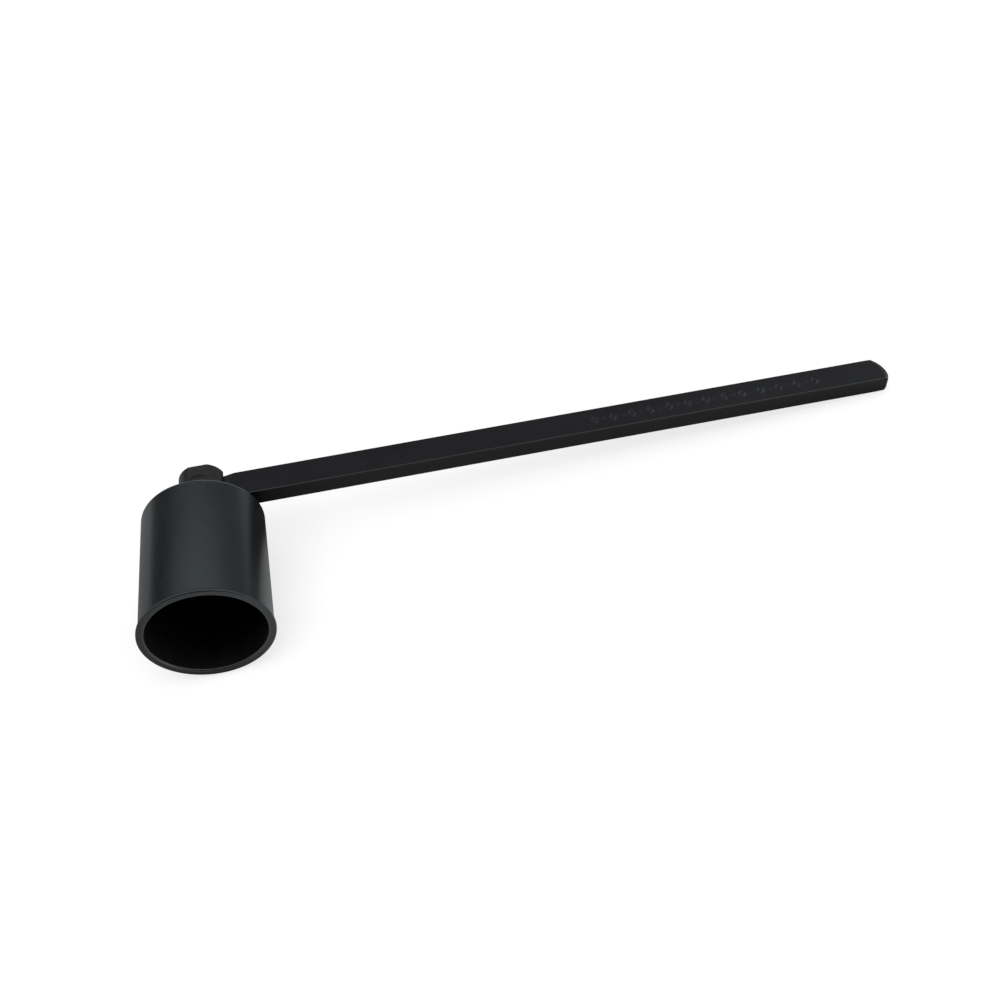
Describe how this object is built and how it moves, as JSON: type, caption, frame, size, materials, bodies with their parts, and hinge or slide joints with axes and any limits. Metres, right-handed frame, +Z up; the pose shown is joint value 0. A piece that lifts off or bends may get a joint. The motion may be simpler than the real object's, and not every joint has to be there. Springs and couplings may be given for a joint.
{
  "type": "candle snuffer",
  "caption": "Candle snuffer: open-mouthed steel cup with a small outward lip, hinged through a slotted round knob with two flats to a long flat bar handle, all in matte black.",
  "frame": {"origin": "under the middle of the bounding box, at the height of the lowest point of the cup's lip; the pivot rivet's middle is at (-0.08461, 0.01968, 0.01588)", "axes": "+X along the handle towards its free end; -Y along the cup's axis towards its open mouth; +Z up, along the pivot rivet and square to the handle's wide faces (the snuffer lies on its side)"},
  "size_m": [0.201, 0.0506, 0.0318],
  "materials": {
    "black_powder_coat": "matte black powder coat, very fine texture",
    "black_oxide_steel": "black oxide, satin",
    "black_nylon": "matte"
  },
  "bodies": {
    "handle": {"handle_bar": "black_powder_coat"},
    "snuffer_head": {"snuffer_cup": "black_powder_coat", "pivot_knob": "black_powder_coat", "pivot_rivet": "black_powder_coat", "friction_washer_front": "black_nylon", "friction_washer_rear": "black_nylon", "flat_washer": "black_oxide_steel", "lock_washer": "black_oxide_steel", "cup_screw": "black_oxide_steel"}
  },
  "joints": [
    {"name": "head_pivot", "type": "hinge", "parent": "handle", "child": "snuffer_head", "pos_m": [-0.08461, 0.01968, 0.01588], "axis": [0, 0, -1], "range_deg": [-8, 188]}
  ]
}
